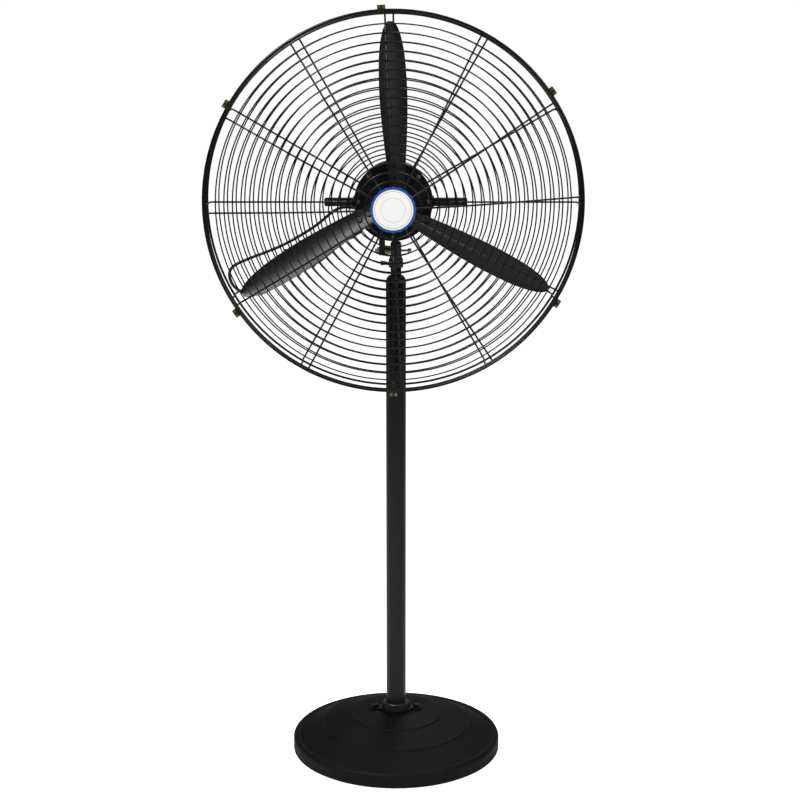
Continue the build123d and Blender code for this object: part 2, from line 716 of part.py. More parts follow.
with BuildPart() as rotary_switch:
    with BuildSketch(HEAD.offset(BOX_BACK)):
        Circle(SWITCH_R)
        Circle(SWITCH_STEM_R + RUN_GAP, mode=Mode.SUBTRACT)
    extrude(amount=SWITCH_T)
rotary_switch.part.label = "rotary_switch"
export_step(rotary_switch.part, "parts/rotary_switch.step")

BOX_FLOOR = COVER_END - BOX_WALL
CAP_FIT_R = min(CAP_R, (BOX_DEEP - BOX_WALL - SWITCH_T - 1) / 2)
with BuildPart() as run_capacitor:
    with BuildSketch(Plane.YZ.offset(HEAD_X - CAP_L / 2)):
        with Locations((-(BOX_FLOOR - CAP_FIT_R - SEAT_GAP), HEAD_Z)):
            Circle(CAP_FIT_R)
    extrude(amount=CAP_L)
run_capacitor.part.label = "run_capacitor"
export_step(run_capacitor.part, "parts/run_capacitor.step")

with BuildPart() as speed_knob:
    with BuildSketch(HEAD.offset(BOX_BACK - LID_T - SEAT_GAP)):
        Circle(KNOB_R)
    extrude(amount=-KNOB_T, taper=6)
    with BuildSketch(HEAD.offset(BOX_BACK - LID_T - SEAT_GAP - KNOB_T)):
        with Locations((0, KNOB_R - 5)):
            Rectangle(2.4, 9)
    extrude(amount=3, mode=Mode.SUBTRACT)
    with BuildSketch(HEAD.offset(BOX_BACK - LID_T - SEAT_GAP)):
        Circle(SWITCH_STEM_R)
    extrude(amount=LID_T + SEAT_GAP + SWITCH_T - 2)
speed_knob.part.label = "speed_knob"
export_step(speed_knob.part, "parts/speed_knob.step")

# --- Rotor
with BuildPart() as rotor_shaft:
    with BuildSketch(HEAD.offset(SHAFT_BACK)):
        Circle(SHAFT_R)
    extrude(amount=HUB_BACK - SHAFT_BACK)
    with BuildSketch(HEAD.offset(HUB_BACK)):
        Circle(SHAFT_TIP_R)
    extrude(amount=HUB_FRONT + HUB_NUT_T - HUB_BACK)
rotor_shaft.part.label = "rotor_shaft"
export_step(rotor_shaft.part, "parts/rotor_shaft.step")

with BuildPart() as rotor_core:
    with BuildSketch(HEAD.offset(STATOR_BACK)):
        Circle(STATOR_BORE - AIR_GAP)
        Circle(SHAFT_R, mode=Mode.SUBTRACT)
    extrude(amount=STATOR_FRONT - STATOR_BACK)
rotor_core.part.label = "rotor_core"
export_step(rotor_core.part, "parts/rotor_core.step")


# Blade form at a distance from the fan axis
def blade_share(r):
    return (r - BLADE_ROOT_R) / (BLADE_TIP_R - BLADE_ROOT_R)


def blade_width(r):
    widest = BLADE_ROOT_R + 0.553 * (BLADE_TIP_R - BLADE_ROOT_R)
    if r < widest:
        return BLADE_WIDTH * (1 - 0.456 * ((widest - r) / (widest - BLADE_ROOT_R)) ** 1.6)
    return BLADE_WIDTH * math.sqrt(1 - ((r - widest) / (BLADE_TIP_R - widest)) ** 2.6)


def blade_pitch(r):
    return math.radians(BLADE_PITCH_ROOT + (BLADE_PITCH_TIP - BLADE_PITCH_ROOT) * blade_share(r))


def blade_lean(r):
    return BLADE_LEAN_ROOT + (BLADE_LEAN_TIP - BLADE_LEAN_ROOT) * blade_share(r)


def blade_plane(r, back=0.0):
    p = blade_pitch(r)
    at = (
        HEAD_X + blade_lean(r) - back * math.sin(p),
        -BLADE_D + back * math.cos(p),
        HEAD_Z + r,
    )
    return Plane(origin=at, x_dir=(math.cos(p), math.sin(p), 0), z_dir=(0, 0, 1))


def screw_plane(r, back):
    p = blade_pitch(r)
    at = blade_plane(r, back).origin
    return Plane(origin=at, x_dir=(0, 0, 1), z_dir=(-math.sin(p), math.cos(p), 0))


BLADE_SHARES = (0.0, 0.1, 0.22, 0.36, 0.5, 0.62, 0.74, 0.84, 0.915, 0.965, 0.993)
ARM_BACK = BLADE_CAMBER * blade_width(ARM_R) + BLADE_T + SEAT_GAP
SCREW_RADII = (BLADE_SCREW_R1, BLADE_SCREW_R2)

# one blade points up; the rotor turns copies of it round the shaft
with BuildPart() as blade_one:
    for share in BLADE_SHARES:
        r = BLADE_ROOT_R + share * (BLADE_TIP_R - BLADE_ROOT_R)
        half = blade_width(r) / 2
        rise = 2 * half * BLADE_CAMBER
        with BuildSketch(blade_plane(r)):
            with BuildLine():
                ThreePointArc((-half, 0), (0, rise), (half, 0))
                Line((half, 0), (half, BLADE_T))
                ThreePointArc((half, BLADE_T), (0, rise + BLADE_T), (-half, BLADE_T))
                Line((-half, BLADE_T), (-half, 0))
            make_face()
    loft()
    for rs in SCREW_RADII:
        with BuildSketch(screw_plane(rs, -5)):
            Circle(BLADE_SCREW_SIZE + SEAT_GAP)
        extrude(amount=20, mode=Mode.SUBTRACT)

with BuildPart() as fan_blades:
    for k in range(BLADES):
        add(blade_one.part.rotate(FAN_AXIS, 360 / BLADES * k))
fan_blades.part.label = "fan_blades"
export_step(fan_blades.part, "parts/fan_blades.step")

# the spider: a boss on the shaft and a pitched arm behind each blade's root
with BuildPart() as arm_one:
    with BuildSketch(blade_plane(HUB_BOSS_R - 6, ARM_BACK + ARM_T / 2)):
        Rectangle(ARM_W, ARM_T)
    with BuildSketch(blade_plane(ARM_R, ARM_BACK + ARM_T / 2)):
        Rectangle(ARM_W - 6, ARM_T)
    loft()
    for rs in SCREW_RADII:
        with BuildSketch(screw_plane(rs, -5)):
            Circle(BLADE_SCREW_SIZE + SEAT_GAP)
        extrude(amount=30, mode=Mode.SUBTRACT)

with BuildPart() as blade_hub:
    with BuildSketch(HEAD.offset(HUB_BACK)):
        Circle(HUB_BOSS_R)
    extrude(amount=HUB_FRONT - HUB_BACK, taper=3)
    for k in range(BLADES):
        add(arm_one.part.rotate(FAN_AXIS, 360 / BLADES * k))
    with BuildSketch(HEAD.offset(HUB_BACK)):
        Circle(SHAFT_TIP_R)
    extrude(amount=HUB_FRONT - HUB_BACK, mode=Mode.SUBTRACT)
blade_hub.part.label = "blade_hub"
export_step(blade_hub.part, "parts/blade_hub.step")

with BuildPart() as screw_set:
    for rs in SCREW_RADII:
        seat = BLADE_CAMBER * blade_width(rs) - 1.0
        with BuildSketch(screw_plane(rs, seat)):
            Circle(BLADE_SCREW_SIZE)
        extrude(amount=ARM_BACK + ARM_T - seat + 3)
        with BuildSketch(screw_plane(rs, seat)):
            RegularPolygon(2 * BLADE_SCREW_SIZE, 6)
        extrude(amount=-BLADE_SCREW_SIZE)

with BuildPart() as blade_screws:
    for k in range(BLADES):
        add(screw_set.part.rotate(FAN_AXIS, 360 / BLADES * k))
blade_screws.part.label = "blade_screws"
export_step(blade_screws.part, "parts/blade_screws.step")

with BuildPart() as hub_nut:
    with BuildSketch(HEAD.offset(HUB_FRONT)):
        RegularPolygon(HUB_NUT_R, 6)
        Circle(SHAFT_TIP_R, mode=Mode.SUBTRACT)
    extrude(amount=HUB_NUT_T)
hub_nut.part.label = "hub_nut"
export_step(hub_nut.part, "parts/hub_nut.step")


# --- Cage. Rings are many-sided, with a corner at each spoke; the front is turned a little against the rear.
def ring_sides(r):
    return 24 if r < 260 else 36


def ring_radii(first):
    count = int((RING_LAST - first) / RING_PITCH) + 1
    return [first + RING_PITCH * k for k in range(count)]


CROWN_R = DOME_CROWN_R / math.sin(math.atan(DOME_SLOPE))


def dome_depth(r):
    if r >= DOME_CROWN_R:
        return SHOULDER_DEPTH - 2 + (SHOULDER_R - r) * DOME_SLOPE
    edge = SHOULDER_DEPTH - 2 + (SHOULDER_R - DOME_CROWN_R) * DOME_SLOPE
    return edge + math.sqrt(CROWN_R**2 - r**2) - math.sqrt(CROWN_R**2 - DOME_CROWN_R**2)


FRONT_RADII = ring_radii(FRONT_RING_FIRST)
REAR_RADII = ring_radii(REAR_RING_FIRST)

with BuildPart() as front_guard_rings:
    for r in FRONT_RADII:
        with BuildSketch(HEAD.offset(JUNCTION_D + dome_depth(r) - WIRE / 2)):
            RegularPolygon(r + WIRE / 2, ring_sides(r), rotation=SPOKE_TURN)
            RegularPolygon(r - WIRE / 2, ring_sides(r), rotation=SPOKE_TURN, mode=Mode.SUBTRACT)
        extrude(amount=WIRE)
front_guard_rings.part.label = "front_guard_rings"
export_step(front_guard_rings.part, "parts/front_guard_rings.step")

SHOULDER_D = JUNCTION_D + SHOULDER_DEPTH
with BuildPart() as front_guard_rim:
    with BuildSketch(HEAD.offset(JUNCTION_D + SEAT_GAP / 2)):
        RegularPolygon(RIM_R + RIM_WIRE / 2, 36, rotation=SPOKE_TURN)
        RegularPolygon(RIM_R - RIM_WIRE / 2, 36, rotation=SPOKE_TURN, mode=Mode.SUBTRACT)
    extrude(amount=RIM_WIRE)
    with BuildSketch(HEAD.offset(SHOULDER_D)):
        RegularPolygon(SHOULDER_R + SHOULDER_WIRE / 2, 36, rotation=SPOKE_TURN)
        RegularPolygon(SHOULDER_R - SHOULDER_WIRE / 2, 36, rotation=SPOKE_TURN, mode=Mode.SUBTRACT)
    extrude(amount=SHOULDER_WIRE)
front_guard_rim.part.label = "front_guard_rim"
export_step(front_guard_rim.part, "parts/front_guard_rim.step")

# each front spoke follows the dome behind the rings and runs out to the rim
SPOKE_DROP = WIRE / 2 * (1 + DOME_SLOPE) + SEAT_GAP
SPOKE_START = 20.0
CROWN_STEPS = 6
SPOKE_TOP = [
    (r, JUNCTION_D + dome_depth(r) - SPOKE_DROP)
    for r in [SPOKE_START + (DOME_CROWN_R - SPOKE_START) * k / CROWN_STEPS for k in range(CROWN_STEPS + 1)]
]
SHOULDER_IN = SHOULDER_R - SHOULDER_WIRE / 2 - 0.5
RIM_IN = RIM_R - RIM_WIRE / 2 - 0.4
TAIL_TURN = SHOULDER_IN - 3
SPOKE_TAIL = [
    (TAIL_TURN, JUNCTION_D + dome_depth(TAIL_TURN) - SPOKE_DROP),
    (SHOULDER_IN - 2, SHOULDER_D + SHOULDER_WIRE / 2),
    (SHOULDER_IN, SHOULDER_D + SHOULDER_WIRE / 2),
    (SHOULDER_IN, SHOULDER_D - 1),
    (RIM_IN, JUNCTION_D + RIM_WIRE),
    (RIM_IN, JUNCTION_D + SEAT_GAP),
    (RIM_IN - SPOKE_WIRE, JUNCTION_D + SEAT_GAP),
    (TAIL_TURN, JUNCTION_D + dome_depth(TAIL_TURN) - SPOKE_DROP - SPOKE_WIRE),
]
SPOKE_UNDER = [(r, d - SPOKE_WIRE) for r, d in reversed(SPOKE_TOP)]
with BuildPart() as spoke_one:
    with BuildSketch(HALF.offset(-SPOKE_WIRE / 2)):
        with BuildLine():
            Polyline(*SPOKE_TOP, *SPOKE_TAIL, *SPOKE_UNDER, close=True)
        make_face()
    extrude(amount=SPOKE_WIRE)

with BuildPart() as front_guard_spokes:
    for k in range(SPOKES):
        add(spoke_one.part.rotate(FAN_AXIS, SPOKE_TURN + 360 / SPOKES * k))
front_guard_spokes.part.label = "front_guard_spokes"
export_step(front_guard_spokes.part, "parts/front_guard_spokes.step")

# rear guard: centre plate on the disc, flat spokes, rings in front of them, posts up to the rim
with BuildPart() as rear_guard_plate:
    with BuildSketch(HEAD.offset(DISC_FRONT)):
        Circle(REAR_PLATE_OUT)
        Circle(REAR_PLATE_IN, mode=Mode.SUBTRACT)
        with PolarLocations(DISC_SCREW_R, DISC_SCREWS):
            Circle(SCREW_R + RUN_GAP, mode=Mode.SUBTRACT)
    extrude(amount=REAR_PLATE_T)
rear_guard_plate.part.label = "rear_guard_plate"
export_step(rear_guard_plate.part, "parts/rear_guard_plate.step")

POST_OUT = CORNER_R - CORNER_WIRE / 2 - SEAT_GAP
REAR_SPOKE_FRONT = PLATE_FRONT + SPOKE_WIRE
with BuildPart() as rear_guard_spokes:
    with BuildSketch(HEAD.offset(PLATE_FRONT)):
        with PolarLocations((REAR_PLATE_OUT + POST_OUT) / 2 - 1, SPOKES):
            Rectangle(POST_OUT - REAR_PLATE_OUT + 2, SPOKE_WIRE)
    extrude(amount=SPOKE_WIRE)
rear_guard_spokes.part.label = "rear_guard_spokes"
export_step(rear_guard_spokes.part, "parts/rear_guard_spokes.step")

with BuildPart() as rear_guard_rings:
    for r in REAR_RADII:
        with BuildSketch(HEAD.offset(REAR_SPOKE_FRONT + SEAT_GAP)):
            RegularPolygon(r + WIRE / 2, ring_sides(r))
            RegularPolygon(r - WIRE / 2, ring_sides(r), mode=Mode.SUBTRACT)
        extrude(amount=WIRE)
    with BuildSketch(HEAD.offset(PLATE_FRONT)):
        RegularPolygon(CORNER_R + CORNER_WIRE / 2, 36)
        RegularPolygon(CORNER_R - CORNER_WIRE / 2, 36, mode=Mode.SUBTRACT)
    extrude(amount=CORNER_WIRE)
rear_guard_rings.part.label = "rear_guard_rings"
export_step(rear_guard_rings.part, "parts/rear_guard_rings.step")

POST_FOOT = REAR_SPOKE_FRONT + SEAT_GAP
POST_TOP = JUNCTION_D - SEAT_GAP
with BuildPart() as post_one:
    with BuildSketch(HALF.offset(-SPOKE_WIRE / 2)):
        with BuildLine():
            Polyline(
                (POST_OUT - SPOKE_WIRE, POST_FOOT),
                (POST_OUT, POST_FOOT),
                (POST_OUT, POST_TOP - 2 * RIM_WIRE),
                (RIM_IN, POST_TOP - RIM_WIRE),
                (RIM_IN, POST_TOP),
                (RIM_IN - SPOKE_WIRE, POST_TOP),
                (POST_OUT - SPOKE_WIRE, POST_TOP - 2 * RIM_WIRE),
                close=True,
            )
        make_face()
    extrude(amount=SPOKE_WIRE)

with BuildPart() as rear_guard_posts:
    for k in range(SPOKES):
        add(post_one.part.rotate(FAN_AXIS, 360 / SPOKES * k))
rear_guard_posts.part.label = "rear_guard_posts"
export_step(rear_guard_posts.part, "parts/rear_guard_posts.step")

with BuildPart() as rear_guard_rim:
    with BuildSketch(HEAD.offset(JUNCTION_D - SEAT_GAP / 2)):
        RegularPolygon(RIM_R + RIM_WIRE / 2, 36)
        RegularPolygon(RIM_R - RIM_WIRE / 2, 36, mode=Mode.SUBTRACT)
    extrude(amount=-RIM_WIRE)
rear_guard_rim.part.label = "rear_guard_rim"
export_step(rear_guard_rim.part, "parts/rear_guard_rim.step")

# --- Rim clips with their screws
CLIP_REAR = JUNCTION_D - RIM_WIRE - 2 * SEAT_GAP - CLIP_T
CLIP_FRONT = JUNCTION_D + RIM_WIRE + 2 * SEAT_GAP + CLIP_T
CLIP_IN = RIM_R - RIM_WIRE / 2 + 1
with BuildPart() as clip_one:
    with BuildSketch(HALF.offset(-CLIP_W / 2)):
        with BuildLine():
            Polyline(
                (CLIP_IN, CLIP_REAR),
                (CLIP_REACH, CLIP_REAR),
                (CLIP_REACH, CLIP_FRONT),
                (CLIP_IN, CLIP_FRONT),
                (CLIP_IN, CLIP_FRONT - CLIP_T),
                (CLIP_REACH - CLIP_T, CLIP_FRONT - CLIP_T),
                (CLIP_REACH - CLIP_T, CLIP_REAR + CLIP_T),
                (CLIP_IN, CLIP_REAR + CLIP_T),
                close=True,
            )
        make_face()
    extrude(amount=CLIP_W)
    with BuildSketch(HEAD.offset(CLIP_REAR - 1)):
        with Locations((-CLIP_BOLT_APART / 2, CLIP_BOLT_R), (CLIP_BOLT_APART / 2, CLIP_BOLT_R)):
            Circle(CLIP_BOLT_SIZE + RUN_GAP)
    extrude(amount=CLIP_FRONT - CLIP_REAR + 2, mode=Mode.SUBTRACT)

with BuildPart() as clip_bolt_pair:
    with BuildSketch(HEAD.offset(CLIP_REAR - 1)):
        with Locations((-CLIP_BOLT_APART / 2, CLIP_BOLT_R), (CLIP_BOLT_APART / 2, CLIP_BOLT_R)):
            RegularPolygon(CLIP_BOLT_SIZE, 8)
    extrude(amount=CLIP_FRONT - CLIP_REAR + 1)
    with BuildSketch(HEAD.offset(CLIP_FRONT)):
        with Locations((-CLIP_BOLT_APART / 2, CLIP_BOLT_R), (CLIP_BOLT_APART / 2, CLIP_BOLT_R)):
            RegularPolygon(2 * CLIP_BOLT_SIZE, 8)
    extrude(amount=CLIP_BOLT_SIZE)

with BuildPart() as rim_clips:
    for angle in CLIP_ANGLES:
        add(clip_one.part.rotate(FAN_AXIS, angle - 90))
rim_clips.part.label = "rim_clips"
export_step(rim_clips.part, "parts/rim_clips.step")

with BuildPart() as clip_screws:
    for angle in CLIP_ANGLES:
        add(clip_bolt_pair.part.rotate(FAN_AXIS, angle - 90))
clip_screws.part.label = "clip_screws"
export_step(clip_screws.part, "parts/clip_screws.step")

# --- Badge on the crown of the front guard
BADGE_BACK = JUNCTION_D + dome_depth(SPOKE_START) - SPOKE_DROP + SEAT_GAP
with BuildPart() as badge_plate:
    with BuildSketch(HEAD.offset(BADGE_BACK)):
        Circle(BADGE_PLATE_R)
    extrude(amount=BADGE_PLATE_T)
badge_plate.part.label = "badge_plate"
export_step(badge_plate.part, "parts/badge_plate.step")

with BuildPart() as badge_ring:
    with BuildSketch(HEAD.offset(BADGE_BACK + BADGE_PLATE_T)):
        Circle(BADGE_R)
        with PolarLocations(BADGE_R - BADGE_SCALLOP_R + 1.3, BADGE_SCALLOPS):
            Circle(BADGE_SCALLOP_R)
        Circle(BADGE_FACE_R + RUN_GAP, mode=Mode.SUBTRACT)
    extrude(amount=BADGE_T)
badge_ring.part.label = "badge_ring"
export_step(badge_ring.part, "parts/badge_ring.step")

with BuildPart() as badge_face:
    with BuildSketch(HEAD.offset(BADGE_BACK + BADGE_PLATE_T)):
        Circle(BADGE_FACE_R)
    extrude(amount=BADGE_T + 0.5)
badge_face.part.label = "badge_face"
export_step(badge_face.part, "parts/badge_face.step")

# --- Supply lead: gland on the motor's left, lead behind the rear guard, rest of it in a hank
# tied to the lower left spoke behind a blade, and the plug
GLAND_Z = HEAD_Z - GLAND_Z_DROP
GLAND_ROOT = HEAD_X - math.sqrt(MOTOR_R**2 - GLAND_Z_DROP**2)
with BuildPart() as cord_gland:
    with BuildSketch(Plane.YZ.offset(GLAND_ROOT + 4)):
        with Locations((-GLAND_D, GLAND_Z)):
            Circle(2.1 * CORD_R)
    extrude(amount=-8)
    with BuildSketch(Plane.YZ.offset(GLAND_ROOT - 4)):
        with Locations((-GLAND_D, GLAND_Z)):
            Circle(1.8 * CORD_R)
    extrude(amount=-(GLAND_L - 4), taper=5)
    with BuildSketch(HEAD.offset(MOTOR_BACK)):
        Circle(MOTOR_R)
    extrude(amount=MOTOR_FRONT - MOTOR_BACK, mode=Mode.SUBTRACT)
cord_gland.part.label = "cord_gland"
export_step(cord_gland.part, "parts/cord_gland.step")

HANK_A = math.radians(HANK_AZ)
LAYER_1 = PLATE_FRONT - CORD_GAP - CORD_R
LAYER_2 = LAYER_1 - HANK_PITCH
HANK_INNER = HANK_OUTER - HANK_PITCH
HANK_MEAN = (HANK_OUTER + HANK_INNER) / 2


# a point by its way in towards the hub, its way across, and its depth
def hank_point(s, t, d):
    r = HANK_MID_R + HANK_RUN / 2 - s
    x = HEAD_X + r * math.cos(HANK_A) + t * math.sin(HANK_A)
    z = HEAD_Z - HANK_SINK + r * math.sin(HANK_A) - t * math.cos(HANK_A)
    return (x, -d, z)


def route_radii(points):
    radii = []
    for a, b, c in zip(points, points[1:], points[2:]):
        one = Vector(*b) - Vector(*a)
        two = Vector(*c) - Vector(*b)
        turn = math.radians(one.get_angle(two))
        radii.append(0.45 * min(one.length, two.length) / math.tan(turn / 2))
    return radii


GLAND_END = GLAND_ROOT - GLAND_L
LEAD_POINTS = [
    (GLAND_END, -GLAND_D, GLAND_Z),
    (GLAND_END - 20, -GLAND_D, GLAND_Z),
    (-146, -40, 1252),
    (-166, -62, 1236),
    (-192, -80, 1220),
    (-230, -LAYER_1, 1198),
    (-270, -LAYER_1, 1180),
    (-320, -LAYER_1, 1162),
    (-362, -LAYER_1, 1142),
    (-357, -LAYER_1, 1106),
    (-330, -LAYER_1, 1086),
    (-297, -LAYER_1, 1083),
    hank_point(-36, -HANK_OUTER, LAYER_1),
    hank_point(0, -HANK_OUTER, LAYER_1),
]
LEAD_RADII = route_radii(LEAD_POINTS)
print("lead radii", [round(r, 1) for r in LEAD_RADII])

HANK_CORNERS = [
    (HANK_RUN + HANK_OUTER, -HANK_OUTER, LAYER_1),
    (HANK_RUN + HANK_OUTER, HANK_OUTER, LAYER_1),
    (-HANK_MEAN, HANK_OUTER, LAYER_1),
    (-HANK_MEAN, -HANK_INNER, LAYER_1),
    (HANK_RUN + HANK_INNER, -HANK_INNER, LAYER_1),
    (HANK_RUN + HANK_INNER, HANK_INNER, LAYER_1),
    (-HANK_INNER, HANK_INNER, LAYER_2),
    (-HANK_INNER, -HANK_INNER, LAYER_2),
    (HANK_RUN + HANK_MEAN, -HANK_INNER, LAYER_2),
    (HANK_RUN + HANK_MEAN, HANK_OUTER, LAYER_2),
    (-HANK_OUTER, HANK_OUTER, LAYER_2),
    (-HANK_OUTER, -HANK_OUTER, LAYER_2),
]
HALF_TURNS = [HANK_OUTER, HANK_MEAN, HANK_INNER, HANK_INNER, HANK_MEAN, HANK_OUTER]
TAIL_ACROSS = 12.0
TAIL = [
    (HANK_RUN + 19, -HANK_OUTER, LAYER_2),
    (HANK_RUN + 39, -TAIL_ACROSS, LAYER_2),
    (HANK_RUN + 53, -TAIL_ACROSS, LAYER_2),
]
HANK_POINTS = [hank_point(0, -HANK_OUTER, LAYER_1)]
HANK_POINTS += [hank_point(*p) for p in HANK_CORNERS + TAIL]
HANK_RADII = [r - 0.15 for r in HALF_TURNS for k in range(2)]
HANK_RADII += route_radii([hank_point(HANK_RUN - 10, -HANK_OUTER, LAYER_2)] + HANK_POINTS[-3:])
print("hank radii", [round(r, 1) for r in HANK_RADII])

for node, points, radii in (
    ("cord_lead", LEAD_POINTS, LEAD_RADII),
    ("cord_hank", HANK_POINTS, HANK_RADII),
):
    with BuildPart() as cord_piece:
        with BuildLine() as cord_path:
            FilletPolyline(*points, radius=radii)
        with BuildSketch(Plane(origin=cord_path.wire() @ 0, z_dir=cord_path.wire() % 0)):
            Circle(CORD_R)
        sweep(path=cord_path.wire())
    cord_piece.part.label = node
    export_step(cord_piece.part, f"parts/{node}.step")
    length = cord_path.wire().length
    share = cord_piece.part.volume / (math.pi * CORD_R**2 * length)
    print(node, "length", round(length, 1), "volume share", round(share, 4))
    samples = int(length / 3)
    route = cord_path.wire()
    spots = [tuple(route @ (k / samples)) for k in range(samples + 1)]
    apart = int(10 * CORD_R / 3)
    least = min(
        math.dist(spots[i], spots[j])
        for i in range(len(spots))
        for j in range(i + apart, len(spots))
    )
    print(node, "least gap to itself", round(least - 2 * CORD_R, 2))

TAIL_END = hank_point(*TAIL[-1])
INWARD = (-math.cos(HANK_A), 0, -math.sin(HANK_A))
ACROSS = (math.sin(HANK_A), 0, -math.cos(HANK_A))
PLUG_PLANE = Plane(origin=TAIL_END, x_dir=ACROSS, z_dir=INWARD)
with BuildPart() as mains_plug:
    with BuildSketch(PLUG_PLANE):
        Rectangle(1.1 * PLUG_R, 1.1 * PLUG_R)
    with BuildSketch(PLUG_PLANE.offset(PLUG_BODY)):
        Rectangle(2 * PLUG_R, 1.7 * PLUG_R)
    loft()
    with BuildSketch(PLUG_PLANE.offset(PLUG_BODY)):
        with GridLocations(PIN_APART, 1, 2, 1):
            Circle(PIN_R)
    extrude(amount=PIN_L)
mains_plug.part.label = "mains_plug"
export_step(mains_plug.part, "parts/mains_plug.step")

TIE_IN = HANK_OUTER + CORD_R + CORD_GAP
TIE_BACK = LAYER_2 - CORD_R - CORD_GAP
TIE_FRONT = REAR_SPOKE_FRONT + SEAT_GAP
TIE_RADII = (212.5 + 2.3, 249.5 + 2.3)
with BuildPart() as cord_ties:
    for r in TIE_RADII:
        at = hank_point(HANK_MID_R + HANK_RUN / 2 - r, 0, (TIE_BACK + TIE_FRONT) / 2)
        with BuildSketch(Plane(origin=at, x_dir=ACROSS, z_dir=INWARD).offset(-TIE_W / 2)):
            RectangleRounded(2 * TIE_IN + 2 * TIE_T, TIE_FRONT - TIE_BACK + 2 * TIE_T, 2)
            RectangleRounded(2 * TIE_IN, TIE_FRONT - TIE_BACK, 1, mode=Mode.SUBTRACT)
        extrude(amount=TIE_W)
cord_ties.part.label = "cord_ties"
export_step(cord_ties.part, "parts/cord_ties.step")
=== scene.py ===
# %% [markdown]
# # Industrial pedestal fan
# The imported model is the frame. The guards get their round wires here, the lead its smooth line,
# and every surface a procedural material.

# %% Load the frame
import json
import math
import bpy
import bmesh
from mathutils import Vector, Matrix


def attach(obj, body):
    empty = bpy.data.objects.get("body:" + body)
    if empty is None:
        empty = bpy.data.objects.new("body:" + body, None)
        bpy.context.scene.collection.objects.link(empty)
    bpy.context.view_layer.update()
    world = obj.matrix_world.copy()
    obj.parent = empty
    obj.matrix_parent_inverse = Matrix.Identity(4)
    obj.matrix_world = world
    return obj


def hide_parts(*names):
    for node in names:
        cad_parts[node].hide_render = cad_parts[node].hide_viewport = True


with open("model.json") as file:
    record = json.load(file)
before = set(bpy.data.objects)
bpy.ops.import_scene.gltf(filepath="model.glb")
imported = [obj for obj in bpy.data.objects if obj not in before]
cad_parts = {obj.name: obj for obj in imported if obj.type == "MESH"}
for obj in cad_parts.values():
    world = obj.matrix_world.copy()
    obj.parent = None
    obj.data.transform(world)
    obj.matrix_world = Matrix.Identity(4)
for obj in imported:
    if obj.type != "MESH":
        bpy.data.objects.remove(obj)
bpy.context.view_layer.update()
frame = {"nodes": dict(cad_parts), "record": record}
nodes = frame["nodes"]

# %% [markdown]
# The sizes that the round wires share with the CAD model, in metres. The fan's axis runs along Y
# through the middle of the head, and depth counts forward, towards -Y.

# %% Shared sizes
HEAD_X, HEAD_Z = -0.005, 1.285
JUNCTION = 0.150
SPOKE_TURN = 2.5
DOME_SLOPE = 0.35
CROWN_R = 0.250
SHOULDER_R, SHOULDER_DEPTH = 0.394, 0.010
SPHERE_R = CROWN_R / math.sin(math.atan(DOME_SLOPE))
PLATE_FRONT = 0.0895
REAR_RING_D = 0.0953
RING_PITCH = 0.0185
FRONT_RING_FIRST, FRONT_RING_COUNT = 0.0585, 18
REAR_RING_FIRST, REAR_RING_COUNT = 0.0955, 16
RIM_R, CORNER_R = 0.400, 0.398
RING_WIRE_R, SPOKE_WIRE_R = 0.0015, 0.0020
RIM_WIRE_R, SIDE_WIRE_R = 0.0030, 0.0025
SPOKES = 12
SEAT_GAP = 0.0003
RIM_OFF = RIM_WIRE_R + SEAT_GAP / 2
LEAD_R = 0.0033


def dome(r):
    edge = SHOULDER_DEPTH - 0.002 + (SHOULDER_R - CROWN_R) * DOME_SLOPE
    if r >= CROWN_R:
        return SHOULDER_DEPTH - 0.002 + (SHOULDER_R - r) * DOME_SLOPE
    return edge + math.sqrt(SPHERE_R**2 - r**2) - math.sqrt(SPHERE_R**2 - CROWN_R**2)


def head_point(r, angle, d):
    a = math.radians(angle)
    return Vector((HEAD_X + r * math.cos(a), -d, HEAD_Z + r * math.sin(a)))


# %% [markdown]
# The camera stands about 3.7 m in front, a little above the head, and looks 12.5 degrees down.

# %% Camera
cam_data = bpy.data.cameras.new("camera")
cam_data.sensor_width = 36
cam_data.lens = 1700 / 800 * 36
camera = bpy.data.objects.new("camera", cam_data)
bpy.context.scene.collection.objects.link(camera)
camera.location = (0.009, -3.732, 1.6585)
camera.rotation_euler = (math.radians(90 - 12.5), 0, 0)
bpy.context.scene.camera = camera
print("lens", round(cam_data.lens, 1))

# %% [markdown]
# The lead: out of the gland, down behind the rear guard, round inside the rim, and into the hank
# behind the lower left blade. These are the route points of the CAD tube.

# %% Route of the lead
HANK_A = math.radians(210)
LAYER_1 = PLATE_FRONT - 0.0004 - LEAD_R
LAYER_2 = LAYER_1 - 0.0071
OUT, MEAN, INNER, RUN = 0.0271, 0.02355, 0.0200, 0.090


def hank_point(s, t, d):
    r = 0.232 + RUN / 2 - s
    x = HEAD_X + r * math.cos(HANK_A) + t * math.sin(HANK_A)
    z = HEAD_Z - 0.0046 + r * math.sin(HANK_A) - t * math.cos(HANK_A)
    return (x, -d, z)


